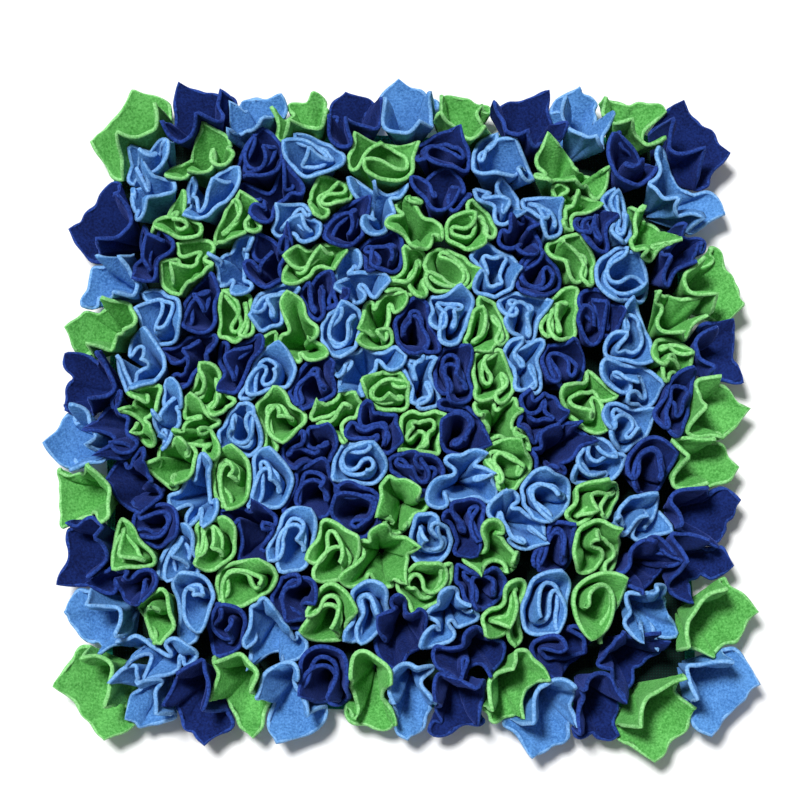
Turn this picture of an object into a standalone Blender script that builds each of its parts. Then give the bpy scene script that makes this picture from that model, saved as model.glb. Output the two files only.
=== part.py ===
"""A snuffle mat: squares of fleece in three colours, pinched at their middles and sewn to a square base.

Each square stands up from the base as a folded tuft.  Its outline as seen from above is one of a few
folds (a scroll, a cup, nested bends, a leaf, a fan at the rim), turned and stretched to fill the room
that its neighbours leave.  The tufts stand apart; the roots of near tufts of one colour are fused into a
narrow strip.  Units are metres, +Z is up, and the mat lies on z = 0 with its middle at the origin.
"""
import math

import bpy

# ---- driving sizes -------------------------------------------------------------------------------
GRID = 0.000643                 # one step of the layout grid in which the tufts are placed
MIDDLE = (398.75, 405.55)       # the mat's middle, in steps from the layout's far left corner
BASE_SIDE = 0.383               # the square base
BASE_THICK = 0.0025
BASE_CORNER = 0.012             # radius of its corners
BASE_WAVE = 0.0011              # unevenness of its edge
BASE_SIDE_POINTS = 9            # stretches along one side of the base
BASE_CORNER_POINTS = 3          # points round one corner
SQUARE_SIDE = 0.084             # one fleece square
GAP = 0.0003                    # between pieces that lie on each other
CELL_CLEARANCE = 0.0008         # between the rooms of two neighbouring tufts
FULL_SPREAD = 0.0310            # widest room of a tuft in the mat
RIM_SPREAD = 0.0335             # widest room of a tuft at the rim
ROOT_PULL = 0.885               # the roots' distance from the middle, as a share of the crowns'
PULL_HEIGHT = 0.042             # the height at which a tuft has leaned out in full
ROOT_SHARE = 0.155              # width of a root as a share of its crown
CROWN_LIFT = 0.525 * SQUARE_SIDE        # slant length from root to crown at the middle of a square's side
CORNER_LIFT = 0.62 * SQUARE_SIDE        # the same at a square's corners, which fold over in the mat
RIM_CORNER_LIFT = 0.70 * SQUARE_SIDE    # and at the rim, where they stick out
RIBBON_LIFT = 0.595 * SQUARE_SIDE       # slant length of a folded ribbon, whose corners are tucked in
RIBBON_LIFT_SPREAD = 0.0022     # how much that varies from tuft to tuft
VARIETY = 2.4                   # radians from one tuft to the next in that variation
RIBBON_SPREAD = 0.013           # a ribbon's mean distance from the tuft's middle
LEAST_RISE = 0.42               # the flattest slope of a crown's edge, as a share of its slant length
CRATER_DEPTH = 0.50             # how deep an open crown dips, as a share of its height
PAD_RADIUS = 0.0058
PAD_SIDES = 4
STRIP_WIDTH = 0.0030
STRIP_THICK = 0.0008
STRIP_LEVELS = {"green": 0.0011, "navy": 0.0023, "sky": 0.0035}     # tops of the strips over the base
STRIP_SINK = 0.0001             # the strips' tops lie this far under the tops of their pads
STRIP_CLEARANCE = 0.0072        # from a strip's line to the middle of a root that it passes
STRIP_REACH = 0.075             # longest strip between two roots
BACKINGS_PER_COLOUR = 19        # a backing is a pad, or a few pads with the strips between them
TUFTS_PER_BACKING = 5           # at most

# ---- the fleece colours and the base, as linear colours ------------------------------------------
COLOURS = {
    "green": (0.110, 0.560, 0.070),
    "sky": (0.090, 0.300, 0.760),
    "navy": (0.012, 0.035, 0.330),
    "base": (0.004, 0.075, 0.045),
}

# ---- folds: the middle line of a doubled ribbon in a unit circle, as x, y and half the ribbon's width 
RIBBONS = {
    "scroll": ((0.80, 0.00, 0.14), (0.50, 0.62, 0.17), (-0.22, 0.76, 0.18), (-0.74, 0.25, 0.18),
               (-0.62, -0.47, 0.18), (0.02, -0.72, 0.18), (0.46, -0.36, 0.17), (0.30, 0.14, 0.15),
               (-0.12, 0.20, 0.14), (-0.22, -0.14, 0.12)),
    "clip": ((-0.70, 0.54, 0.13), (-0.10, 0.66, 0.17), (0.52, 0.54, 0.18), (0.77, 0.00, 0.19),
             (0.50, -0.54, 0.18), (-0.10, -0.66, 0.17), (-0.68, -0.42, 0.17), (-0.46, -0.06, 0.14),
             (0.05, 0.02, 0.15), (0.28, 0.04, 0.13)),
    "ess": ((0.68, 0.52, 0.13), (0.10, 0.64, 0.15), (-0.50, 0.54, 0.17), (-0.64, 0.20, 0.15),
            (-0.16, 0.02, 0.15), (0.28, -0.06, 0.15), (0.66, -0.24, 0.15), (0.48, -0.56, 0.17),
            (-0.10, -0.64, 0.15), (-0.68, -0.52, 0.13)),
    "pleat": ((0.46, 0.72, 0.12), (-0.34, 0.70, 0.13), (-0.68, 0.46, 0.13), (-0.28, 0.22, 0.13),
              (0.36, 0.22, 0.13), (0.70, 0.00, 0.13), (0.34, -0.22, 0.13), (-0.30, -0.24, 0.13),
              (-0.68, -0.46, 0.13), (-0.34, -0.70, 0.13), (0.46, -0.72, 0.12)),
    "cup": ((0.62, 0.50, 0.14), (0.10, 0.78, 0.17), (-0.50, 0.60, 0.18), (-0.78, 0.00, 0.18),
            (-0.50, -0.60, 0.18), (0.10, -0.78, 0.17), (0.60, -0.44, 0.15), (0.26, -0.10, 0.13)),
    "hook": ((-0.82, 0.36, 0.14), (-0.20, 0.46, 0.19), (0.42, 0.42, 0.22), (0.74, 0.00, 0.22),
             (0.40, -0.42, 0.20), (-0.16, -0.40, 0.18), (-0.60, -0.30, 0.14)),
}

# ---- open crowns: an outline around the root, as degrees from the crown's direction and radius ---
CROWNS = {
    "leaf": ((0, 1.00), (40, 0.80), (92, 0.56), (145, 0.62), (178, 0.90), (212, 0.60), (268, 0.54),
             (320, 0.80)),
    "clover": ((0, 0.96), (34, 0.74), (62, 0.46), (96, 0.80), (130, 1.00), (174, 0.46), (220, 0.84),
               (248, 0.92), (298, 0.46)),
    "fan": ((38, 1.00), (84, 0.68), (130, 0.86), (180, 0.56), (228, 0.86), (276, 0.68), (320, 1.00),
            (360, 0.78)),
    "spade": ((0, 1.00), (46, 0.74), (86, 0.96), (138, 0.64), (180, 0.80), (222, 0.64), (274, 0.96),
              (314, 0.74)),
}
MEDIAL_POINTS = {"scroll": 9, "clip": 9, "ess": 8, "pleat": 10, "cup": 7, "hook": 5}

# ---- the tufts: steps across and down the layout, colour, fold, and the way the fold is turned in degrees 
G, S, N = "green", "sky", "navy"
TUFTS = (
    (124, 110, G, "fan", 8), (186, 100, N, "spade", -6), (245, 106, S, "fan", -10),
    (297, 108, G, "fan", 10), (352, 108, N, "spade", 5), (409, 97, S, "spade", 14),
    (463, 108, G, "fan", 0), (538, 108, N, "spade", 0), (594, 106, S, "fan", -8),
    (648, 108, G, "spade", -12), (698, 122, N, "fan", 0), (140, 144, S, "scroll", 0),
    (196, 142, G, "leaf", 270), (256, 143, N, "scroll", 90), (304, 146, S, "clip", 0),
    (378, 146, G, "cup", 200), (446, 138, N, "clip", 90), (505, 150, S, "ess", 60),
    (575, 160, G, "clover", 0), (640, 143, N, "clip", 0), (684, 168, S, "leaf", 300),
    (104, 205, N, "fan", 0), (137, 182, S, "leaf", 120), (166, 214, G, "clip", 90),
    (201, 182, S, "cup", 90), (240, 212, G, "ess", 90), (272, 192, N, "leaf", 90),
    (297, 213, S, "cup", 0), (326, 196, G, "hook", 90), (350, 214, N, "clip", 90),
    (376, 204, S, "leaf", 90), (412, 212, G, "leaf", 270), (442, 192, N, "pleat", 90),
    (476, 216, G, "ess", 90), (503, 202, S, "hook", 270), (524, 224, N, "leaf", 90),
    (549, 213, S, "clip", 90), (573, 203, G, "hook", 0), (598, 218, N, "clip", 90),
    (623, 215, S, "scroll", 90), (652, 222, G, "leaf", 300), (690, 248, N, "spade", -8),
    (112, 268, S, "fan", 4), (150, 243, N, "cup", 90), (184, 264, G, "hook", 300),
    (238, 258, S, "leaf", 240), (269, 258, N, "leaf", 60), (307, 262, G, "hook", 0),
    (361, 282, S, "clover", 0), (384, 255, N, "clip", 90), (404, 276, G, "cup", 270),
    (450, 272, G, "scroll", 180), (496, 264, S, "cup", 180), (538, 271, N, "scroll", 90),
    (577, 250, G, "cup", 270), (630, 271, S, "scroll", 60), (712, 272, G, "fan", 0),
    (102, 325, G, "spade", 6), (163, 310, S, "clip", 0), (200, 305, N, "clip", 90),
    (231, 312, G, "ess", 90), (272, 306, S, "clip", 60), (297, 326, G, "clover", 90),
    (327, 298, N, "pleat", 90), (346, 322, S, "scroll", 90), (381, 316, G, "leaf", 250),
    (411, 322, N, "scroll", 270), (448, 312, S, "clip", 90), (483, 325, G, "ess", 90),
    (523, 314, S, "clip", 60), (560, 318, G, "clip", 90), (597, 318, N, "pleat", 90),
    (636, 336, S, "cup", 150), (686, 318, G, "fan", 0), (712, 345, N, "fan", -4),
    (90, 380, N, "fan", 0), (135, 366, S, "cup", 120), (190, 362, N, "hook", 0),
    (209, 392, G, "ess", 90), (238, 364, N, "cup", 90), (262, 376, S, "clip", 90),
    (320, 392, N, "clip", 90), (363, 370, S, "clover", 30), (388, 392, G, "scroll", 0),
    (418, 384, S, "ess", 60), (454, 380, N, "clip", 90), (494, 376, G, "ess", 60),
    (523, 370, S, "ess", 60), (555, 372, N, "clip", 90), (586, 404, G, "cup", 0),
    (638, 386, S, "cup", 200), (674, 360, G, "ess", 0), (681, 398, N, "clip", 90),
    (709, 406, G, "spade", 0), (83, 440, S, "spade", -10), (114, 424, N, "leaf", 250),
    (145, 412, G, "leaf", 250), (170, 420, S, "leaf", 240), (197, 424, G, "clover", 90),
    (240, 425, S, "clip", 250), (281, 420, G, "clip", 120), (338, 414, G, "hook", 30),
    (375, 427, N, "hook", 320), (310, 448, N, "cup", 90), (424, 436, G, "cup", 250),
    (418, 468, N, "clip", 300), (458, 431, N, "clip", 0), (503, 424, G, "leaf", 340),
    (537, 415, N, "hook", 340), (624, 426, S, "clip", 45), (650, 466, N, "clip", 70),
    (700, 462, G, "spade", 0), (85, 492, G, "fan", -6), (134, 482, N, "leaf", 0),
    (174, 464, G, "leaf", 260), (197, 490, S, "leaf", 250), (233, 480, G, "clip", 110),
    (266, 482, S, "clip", 100), (314, 487, N, "clip", 90), (361, 463, S, "scroll", 45),
    (362, 513, N, "clip", 0), (402, 505, G, "leaf", 240), (464, 482, S, "leaf", 20),
    (503, 468, G, "clip", 90), (560, 450, N, "leaf", 60), (592, 464, S, "ess", 0),
    (545, 500, S, "clip", 130), (592, 500, G, "cup", 270), (434, 532, S, "clip", 270),
    (463, 527, N, "ess", 90), (491, 548, G, "leaf", 290), (518, 528, S, "leaf", 300),
    (632, 528, S, "pleat", 80), (702, 515, N, "fan", -4), (92, 552, N, "spade", 8),
    (130, 552, G, "clip", 110), (154, 527, N, "scroll", 200), (181, 550, S, "clip", 90),
    (212, 545, G, "clip", 80), (255, 540, N, "leaf", 80), (290, 545, S, "clip", 90),
    (336, 553, G, "clip", 60), (378, 560, G, "leaf", 30), (549, 545, N, "clip", 70),
    (600, 545, G, "cup", 250), (690, 563, N, "spade", 24), (245, 582, G, "clip", 80),
    (426, 586, G, "clip", 270), (478, 590, N, "clip", 90), (104, 622, S, "fan", 0),
    (123, 584, N, "leaf", 0), (156, 620, G, "clip", 150), (195, 610, S, "clip", 120),
    (228, 624, N, "scroll", 90), (268, 628, S, "leaf", 250), (300, 604, N, "cup", 60),
    (326, 614, G, "clip", 50), (368, 614, S, "clip", 90), (399, 628, N, "leaf", 90),
    (452, 614, S, "leaf", 60), (501, 614, G, "cup", 270), (543, 612, S, "scroll", 270),
    (596, 612, G, "scroll", 250), (650, 612, S, "leaf", 280), (715, 628, G, "fan", 6),
    (566, 644, N, "cup", 90), (100, 692, G, "fan", 0), (140, 692, S, "spade", 10),
    (192, 698, N, "fan", 0), (240, 690, G, "fan", 6), (290, 697, S, "spade", 0),
    (327, 684, N, "clip", 60), (373, 692, G, "fan", 0), (412, 694, S, "spade", -8),
    (458, 696, N, "fan", 6), (510, 688, G, "spade", 0), (553, 712, S, "fan", 0),
    (598, 704, N, "spade", 6), (664, 714, G, "fan", 0), (715, 690, S, "fan", 0),
    (650, 567, N, "leaf", 60), (632, 661, N, "leaf", 80), (470, 650, N, "leaf", 270),
    (157, 657, S, "leaf", 200),
)


def clear_scene():
    for thing in list(bpy.data.objects):
        bpy.data.objects.remove(thing, do_unlink=True)


def fleece_material(name):
    material = bpy.data.materials.new(name)
    material.use_nodes = True
    shader = material.node_tree.nodes["Principled BSDF"]
    shader.inputs["Base Color"].default_value = (*COLOURS[name], 1.0)
    shader.inputs["Roughness"].default_value = 0.95
    shader.inputs["Metallic"].default_value = 0.0
    return material


def new_object(name, points, faces, material=None):
    mesh = bpy.data.meshes.new(name)
    mesh.from_pydata(points, [], faces)
    if material is not None:
        mesh.materials.append(material)
    thing = bpy.data.objects.new(name, mesh)
    bpy.context.scene.collection.objects.link(thing)
    return thing


# ---- outlines of the folds, in a unit circle -----------------------------------------------------
def smooth_path(knots, count, closed=False):
    """Points spread evenly along a Catmull-Rom curve through the knots, of any number of columns."""
    steps = 12
    last = len(knots)
    fine = []
    for k in range(last if closed else last - 1):
        if closed:
            a, b, c, d = (knots[(k + j) % last] for j in (-1, 0, 1, 2))
        else:
            a, b, c, d = (knots[min(max(k + j, 0), last - 1)] for j in (-1, 0, 1, 2))
        for step in range(steps):
            t = step / steps
            weights = (-t + 2 * t * t - t ** 3, 2 - 5 * t * t + 3 * t ** 3, t + 4 * t * t - 3 * t ** 3,
                       t ** 3 - t * t)
            fine.append(tuple(0.5 * sum(weight * value for weight, value in zip(weights, column))
                              for column in zip(a, b, c, d)))
    fine.append(tuple(knots[0] if closed else knots[-1]))
    run = [0.0]
    for p, q in zip(fine, fine[1:]):
        run.append(run[-1] + math.dist(p[:2], q[:2]))
    wanted = [run[-1] * k / (count if closed else count - 1) for k in range(count)]
    path = []
    at = 0
    for length in wanted:
        while at < len(run) - 2 and run[at + 1] < length:
            at += 1
        share = min(1.0, (length - run[at]) / (run[at + 1] - run[at]))
        path.append(tuple(p + share * (q - p) for p, q in zip(fine[at], fine[at + 1])))
    return path


def ribbon_outline(fold, count):
    """The closed outline of a ribbon of varying width along its middle line, anticlockwise or clockwise."""
    path = smooth_path(RIBBONS[fold], count)
    left, right = [], []
    for k, (x, y, half) in enumerate(path):
        before = path[max(k - 1, 0)]
        after = path[min(k + 1, count - 1)]
        along = math.atan2(after[1] - before[1], after[0] - before[0])
        left.append((x - half * math.sin(along), y + half * math.cos(along)))
        right.append((x + half * math.sin(along), y - half * math.cos(along)))
    return left + right[::-1]


def crown_outline(fold):
    return [(radius * math.cos(math.radians(turn)), radius * math.sin(math.radians(turn)))
            for turn, radius in CROWNS[fold]]


def fold_outline(fold):
    outline = crown_outline(fold) if fold in CROWNS else ribbon_outline(fold, MEDIAL_POINTS[fold])
    widest = max(math.hypot(x, y) for x, y in outline)
    # the outer bends press against their neighbours, so radii swell towards the edge of the circle
    outline = [(math.sin(math.pi / 2 * math.hypot(x, y) / widest), math.atan2(y, x)) for x, y in outline]
    outline = [(radius * math.cos(turn), radius * math.sin(turn)) for radius, turn in outline]
    area = sum(p[0] * q[1] - q[0] * p[1] for p, q in zip(outline, outline[1:] + outline[:1]))
    return outline if area > 0 else outline[::-1]


# ---- where the tufts stand -----------------------------------------------------------------------
def at_rim(fold):
    return fold in ("fan", "spade")


def crown_middle(tuft):
    return ((tuft[0] - MIDDLE[0]) * GRID, (MIDDLE[1] - tuft[1]) * GRID)


def root_of(middle):
    return (middle[0] * ROOT_PULL, middle[1] * ROOT_PULL)


def room_at(place, middles, fold, direction):
    """How far a tuft may spread from its middle in one direction: half way to each neighbour, or less."""
    reach = RIM_SPREAD if at_rim(fold) else FULL_SPREAD
    here = middles[place]
    for other, there in enumerate(middles):
        away = math.dist(here, there)
        if other == place or away > 2 * RIM_SPREAD + CELL_CLEARANCE:
            continue
        facing = math.cos(direction - math.atan2(there[1] - here[1], there[0] - here[0]))
        if facing > 0:
            reach = min(reach, (away - CELL_CLEARANCE) / 2 / facing)
    return reach


def crown_ring(place, middles):
    """The upper edge of one tuft: points in the plane of the crowns, with the height of each."""
    fold, turn = TUFTS[place][3:]
    middle = middles[place]
    root = root_of(middle)
    outward = math.atan2(middle[1], middle[0]) if at_rim(fold) else 0.0
    outline = fold_outline(fold)
    ribbon_slant = RIBBON_LIFT + RIBBON_LIFT_SPREAD * math.sin(VARIETY * place)
    ribbon_height = math.sqrt(ribbon_slant ** 2 - math.dist(middle, root) ** 2 - RIBBON_SPREAD ** 2)
    ring = []
    for k, (x, y) in enumerate(outline):
        direction = math.atan2(y, x) + math.radians(turn) + outward
        reach = math.hypot(x, y) * room_at(place, middles, fold, direction)
        spot = (middle[0] + reach * math.cos(direction), middle[1] + reach * math.sin(direction))
        height = ribbon_height
        if fold in CROWNS:
            corner = RIM_CORNER_LIFT if at_rim(fold) else CORNER_LIFT
            # the square's four corners stand out sharply along the outline
            beat = abs(math.cos(4 * math.pi * k / len(outline))) ** 6
            slant = CROWN_LIFT + (corner - CROWN_LIFT) * beat
            height = math.sqrt(max(slant ** 2 - math.dist(spot, root) ** 2, (LEAST_RISE * slant) ** 2))
        ring.append((spot[0], spot[1], height))
    return ring


def pulled(spot, middle, height):
    """A point of the crowns' plane, leaned in with its whole tuft to the given height."""
    pull = ROOT_PULL + (1.0 - ROOT_PULL) * height / PULL_HEIGHT
    return (spot[0] * pull, spot[1] * pull, BASE_THICK + GAP + height)


# ---- which roots share a strip -------------------------------------------------------------------
def from_line(spot, start, end):
    """How far a spot lies from the straight stretch between two others."""
    along = (end[0] - start[0], end[1] - start[1])
    share = (spot[0] - start[0]) * along[0] + (spot[1] - start[1]) * along[1]
    share = min(1.0, max(0.0, share / (along[0] ** 2 + along[1] ** 2)))
    return math.dist(spot, (start[0] + share * along[0], start[1] + share * along[1]))


def side_of(spot, start, end):
    return (end[0] - start[0]) * (spot[1] - start[1]) - (end[1] - start[1]) * (spot[0] - start[0])


def strips_meet(roots, one, other):
    """Whether two strips that share no root cross or nearly touch."""
    if set(one) & set(other):
        return False
    a, b, c, d = (roots[k] for k in one + other)
    if side_of(a, c, d) * side_of(b, c, d) < 0 and side_of(c, a, b) * side_of(d, a, b) < 0:
        return True
    nearest = min(from_line(a, c, d), from_line(b, c, d), from_line(c, a, b), from_line(d, a, b))
    return nearest < 2 * STRIP_WIDTH


def group_roots(colour, roots):
    """Joins the roots of one colour, the nearest first, until few enough backings are left."""
    own = [k for k, tuft in enumerate(TUFTS) if tuft[2] == colour]
    backing = {k: [k] for k in own}
    pairs = sorted((math.dist(roots[i], roots[j]), i, j) for i in own for j in own if i < j)
    strips = []
    for length, i, j in pairs:
        if length > STRIP_REACH or len(set(map(id, backing.values()))) <= BACKINGS_PER_COLOUR:
            break
        if backing[i] is backing[j] or len(backing[i]) + len(backing[j]) > TUFTS_PER_BACKING:
            continue
        passed = (k for k in range(len(roots)) if k not in (i, j))
        if any(from_line(roots[k], roots[i], roots[j]) < STRIP_CLEARANCE for k in passed):
            continue
        if any(strips_meet(roots, (i, j), strip) for strip in strips):
            continue
        strips.append((i, j))
        joined = backing[i] + backing[j]
        for k in joined:
            backing[k] = joined
    groups = sorted({tuple(sorted(group)) for group in backing.values()})
    return groups, strips


# ---- solids --------------------------------------------------------------------------------------
def tuft_solid(place, middles, level):
    """One tuft, from its root in the pad to the folded upper edge; an open crown dips to a crater."""
    middle = middles[place]
    fold = TUFTS[place][3]
    ring = crown_ring(place, middles)
    count = len(ring)
    points = []
    for x, y, _ in ring:
        spot = (middle[0] + ROOT_SHARE * (x - middle[0]), middle[1] + ROOT_SHARE * (y - middle[1]))
        points.append(pulled(spot, middle, level))
    for x, y, height in ring:
        points.append(pulled((x, y), middle, height))
    around = [(k, (k + 1) % count) for k in range(count)]
    faces = [(a, b, b + count, a + count) for a, b in around]
    if fold in CROWNS:
        lowest = min(height for _, _, height in ring)
        points.append(pulled(middle, middle, level))
        points.append(pulled(middle, middle, lowest * (1.0 - CRATER_DEPTH)))
        faces += [(b, a, 2 * count) for a, b in around]
        faces += [(a + count, b + count, 2 * count + 1) for a, b in around]
    else:
        for k in range(count // 2 - 1):
            opposite = count - 1 - k
            faces.append((k + count, k + 1 + count, opposite - 1 + count, opposite + count))
            faces.append((opposite, opposite - 1, k + 1, k))
    return new_object("tuft", points, faces)


def upright_prism(name, corners, low, high, material=None):
    """A flat plate with vertical sides over an anticlockwise outline."""
    count = len(corners)
    points = [(x, y, low) for x, y in corners] + [(x, y, high) for x, y in corners]
    faces = [(k, (k + 1) % count, (k + 1) % count + count, k + count) for k in range(count)]
    faces.append(tuple(range(count))[::-1])
    faces.append(tuple(range(count, 2 * count)))
    return new_object(name, points, faces, material)


def pad(root, level):
    corners = [(root[0] + PAD_RADIUS * math.cos(2 * math.pi * k / PAD_SIDES),
                root[1] + PAD_RADIUS * math.sin(2 * math.pi * k / PAD_SIDES)) for k in range(PAD_SIDES)]
    low = BASE_THICK + GAP
    return upright_prism("pad", corners, low, low + level)


def strip(start, end, level):
    share = STRIP_WIDTH / 2 / math.dist(start, end)
    across = ((start[1] - end[1]) * share, (end[0] - start[0]) * share)
    corners = [(start[0] - across[0], start[1] - across[1]), (end[0] - across[0], end[1] - across[1]),
               (end[0] + across[0], end[1] + across[1]), (start[0] + across[0], start[1] + across[1])]
    top = BASE_THICK + GAP + level - STRIP_SINK
    return upright_prism("strip", corners, top - STRIP_THICK, top)


def fused(name, pieces, material):
    """One closed solid from pieces that run into each other."""
    body = pieces[0]
    operands = bpy.data.collections.new(name + "_pieces")
    bpy.context.scene.collection.children.link(operands)
    for piece in pieces[1:]:
        bpy.context.scene.collection.objects.unlink(piece)
        operands.objects.link(piece)
    union = body.modifiers.new("union", "BOOLEAN")
    union.operation = "UNION"
    union.solver = "EXACT"
    union.operand_type = "COLLECTION"
    union.collection = operands
    evaluated = body.evaluated_get(bpy.context.evaluated_depsgraph_get())
    mesh = bpy.data.meshes.new_from_object(evaluated)
    mesh.name = name
    mesh.materials.clear()
    mesh.materials.append(material)
    for piece in pieces:
        bpy.data.objects.remove(piece, do_unlink=True)
    bpy.data.collections.remove(operands)
    node = bpy.data.objects.new(name, mesh)
    bpy.context.scene.collection.objects.link(node)
    return node


def build_base():
    """The flat base, a square with round corners and an edge that is a little uneven."""
    half = BASE_SIDE / 2
    corners = []
    for side in range(4):
        turn = math.pi / 2 * side
        outline = [(half, (half - BASE_CORNER) * (2 * k / BASE_SIDE_POINTS - 1))
                   for k in range(BASE_SIDE_POINTS + 1)]
        for k in range(1, BASE_CORNER_POINTS + 1):
            bend = math.pi / 2 * k / (BASE_CORNER_POINTS + 1)
            outline.append((half - BASE_CORNER + BASE_CORNER * math.cos(bend),
                            half - BASE_CORNER + BASE_CORNER * math.sin(bend)))
        for k, (x, y) in enumerate(outline):
            wave = 1 + BASE_WAVE / half * math.sin(2.3 * k + 1.7 * side)
            corners.append((wave * (x * math.cos(turn) - y * math.sin(turn)),
                            wave * (x * math.sin(turn) + y * math.cos(turn))))
    return upright_prism("base", corners, 0.0, BASE_THICK, fleece_material("base"))


def build_tufts():
    middles = [crown_middle(tuft) for tuft in TUFTS]
    roots = [root_of(middle) for middle in middles]
    for colour, level in STRIP_LEVELS.items():
        material = fleece_material(colour)
        groups, strips = group_roots(colour, roots)
        for number, group in enumerate(groups, start=1):
            pieces = [pad(roots[k], level) for k in group]
            pieces += [strip(roots[i], roots[j], level) for i, j in strips if i in group]
            pieces += [tuft_solid(k, middles, level) for k in group]
            fused(f"{colour}_tufts_{number:02d}", pieces, material)


def main():
    clear_scene()
    build_base()
    build_tufts()


main()
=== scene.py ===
"""The looks of the snuffle mat: each fleece square as thin folded cloth in its tuft's place, and the woven base.

Units are metres.  The shared sizes and the tables of folds and tufts repeat those of the solids.  Each
tuft's upper edge starts on the outline of its solid, lengthens and settles against its neighbours.  The
cloth then runs from that edge down to the pinch, opens from a gathered state and is pushed off the cloth
of other tufts.
"""

import math
from collections import namedtuple

import bpy
import numpy as np
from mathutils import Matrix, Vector


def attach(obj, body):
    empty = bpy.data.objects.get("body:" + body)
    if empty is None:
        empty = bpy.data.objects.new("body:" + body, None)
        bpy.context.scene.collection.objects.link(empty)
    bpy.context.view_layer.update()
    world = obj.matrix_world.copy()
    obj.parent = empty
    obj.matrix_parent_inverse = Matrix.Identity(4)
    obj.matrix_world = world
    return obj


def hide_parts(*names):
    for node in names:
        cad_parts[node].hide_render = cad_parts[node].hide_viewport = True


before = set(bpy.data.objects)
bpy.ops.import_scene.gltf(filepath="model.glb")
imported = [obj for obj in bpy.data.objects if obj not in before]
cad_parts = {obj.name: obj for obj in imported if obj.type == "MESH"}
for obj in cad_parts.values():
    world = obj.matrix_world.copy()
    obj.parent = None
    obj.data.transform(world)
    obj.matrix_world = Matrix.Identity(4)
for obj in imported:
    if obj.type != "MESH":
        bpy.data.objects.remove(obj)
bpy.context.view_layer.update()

# ---- sizes shared with the solids ------------------------------------------------------------------
GRID = 0.000643
MIDDLE = (398.75, 405.55)
BASE_SIDE = 0.383
BASE_THICK = 0.0025
BORDER_WIDTH = 0.006            # of the overlocked edge of the base
SQUARE_SIDE = 0.084
GAP = 0.0003
CELL_CLEARANCE = 0.0008
FULL_SPREAD = 0.0310
RIM_SPREAD = 0.0335
ROOT_PULL = 0.885
PULL_HEIGHT = 0.042
LEAST_RISE = 0.42
STRIP_WIDTH = 0.0030
STRIP_CLEARANCE = 0.0072
STRIP_REACH = 0.075
BACKINGS_PER_COLOUR = 19
TUFTS_PER_BACKING = 5

# ---- sizes of the cloth ----------------------------------------------------------------------------
AROUND = 96                     # points along the edge of a square
LEVELS = (0.10, 0.24, 0.38, 0.51, 0.63, 0.74, 0.83, 0.905, 0.96, 1.0)   # rows from root to edge
FLEECE_THICK = 0.0026           # at a square's edge; the cloth is thinner towards its pinch
THINNEST = 0.25                 # share of that thickness at the pinch
THICKENING = 0.95               # how fast the rest is reached on the way up
LIP = 0.0005                    # by which the cut edge is rounded
RIPPLE = 0.00022                # of the cloth's faces
UNEVEN = 0.0009                 # of the height of an upper edge
APART = 0.0029                  # least distance between the middles of two layers
SPACE_APART = 0.0036            # the same between two tufts, in space
EDGE_LENGTH = 0.220             # length that a tuft's upper edge grows towards, as seen from above
RIM_EDGE_LENGTH = 0.222
MEAN_SLANT = 0.575              # from the pinch to a square's edge, as a share of its side
CLOTH_SPREAD = 0.0355           # how far the cloth inside the rim may spread from a tuft's middle
RIBBON_SWELL = 0.00003          # by which an edge spreads in each step while there is room
CROWN_SWELL = 0.00007
GATHERED = 0.52                 # width of the tufts before they open, as a share of their width
OPEN_STEPS = 24                 # steps in which the tufts open and their corners fall outwards
UPPER_ROWS = 8                  # rows of a tuft's cloth that may meet other tufts
PUSHES = 4                      # times that cloths are pushed apart in each of those steps
ROUNDS = 320                    # steps in which the edges settle
GROWTH_ROUNDS = 220             # steps in which they lengthen
OUTLINE_POINTS = 160            # along a fold's outline in the unit circle
DIRECTIONS = 72                 # in which a tuft's room is measured
ROOM_MARGIN = 0.0012            # by which an upper edge may pass its room
CROWN_DEPTH = 1.4               # by which a crown's outline is drawn in between its corners
RIM_DEPTH = 1.2
# how stiffly an edge bends: points to either side, and share of the bend taken out where slight and where sharp
STIFFNESS = ((1, 0.05, 0.34), (2, 0.05, 0.26), (3, 0.03, 0.06))
CROWN_EVENING = 0.5             # how strongly small bumps are taken out of a settled edge
RIBBON_EVENING = 0.2
EVENING_ROUNDS = 6
DROOP = 0.0014                  # by which any upper edge falls outwards, and how far that varies
DROOP_VARIES = 0.0009
FALL_START = 0.50               # level from which the cloth falls outwards

# how each kind of tuft stands: how strongly a square's corners show in its height, how far they reach outwards,
# how the cloth widens from the root up, how narrow the corners are, and how far they fall
Stand = namedtuple("Stand", "corners splay spread point corner_fall")
STANDS = {
    "rim": Stand(0.80, 0.25, 1.30, 1.3, 0.0020),
    "crown": Stand(0.75, 0.60, 1.60, 1.8, 0.0085),
    "ribbon": Stand(0.60, 0.25, 1.60, 2.5, 0.0065),
}

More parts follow.
